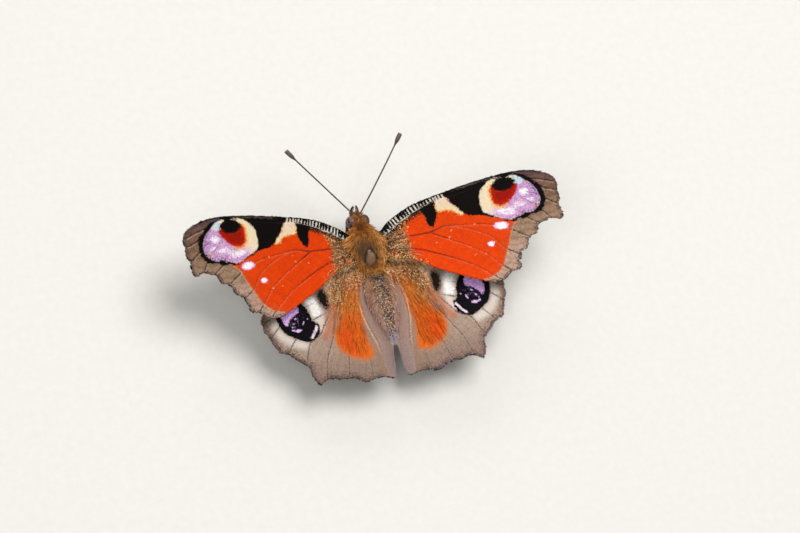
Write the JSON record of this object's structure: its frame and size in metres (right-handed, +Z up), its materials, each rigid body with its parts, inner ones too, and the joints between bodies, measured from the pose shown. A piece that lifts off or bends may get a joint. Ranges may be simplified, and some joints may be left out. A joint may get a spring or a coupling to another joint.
{
  "type": "peacock butterfly",
  "caption": "Life-size peacock butterfly standing with its wings spread, with a scalloped margin, raised wing veins, clubbed antennae and slim bent legs.",
  "frame": {"origin": "on the floor under the middle of the whole butterfly's box", "axes": "+X towards the butterfly's right wing tip, +Y towards its head, +Z up"},
  "size_m": [0.0576, 0.0367, 0.0137],
  "materials": {
    "fur": "golden brown fur of fine hairs",
    "abdomen_scales": "dark blue-grey and brown scales with gold flecks",
    "horn": "dark brown horn, scaled, with pale-tipped clubs",
    "eye": "purple-brown compound eye",
    "palp_scales": "dark brown scales with a cream stripe",
    "forewing_scales": "orange-red dusty scales with an eyespot, a cream patch and a brown margin",
    "hindwing_scales": "grey-brown dusty scales with a blue and black eyespot",
    "leg": "brown horn with fine hairs"
  },
  "bodies": {
    "root": {"thorax": "fur", "head": "fur", "abdomen": "abdomen_scales", "proboscis": "horn", "eye_left": "eye", "palp_left": "palp_scales", "antenna_left": "horn", "forewing_left": "forewing_scales", "hindwing_left": "hindwing_scales", "foreleg_left": "leg", "midleg_left": "leg", "hindleg_left": "leg", "eye_right": "eye", "palp_right": "palp_scales", "antenna_right": "horn", "forewing_right": "forewing_scales", "hindwing_right": "hindwing_scales", "foreleg_right": "leg", "midleg_right": "leg", "hindleg_right": "leg"}
  },
  "joints": []
}
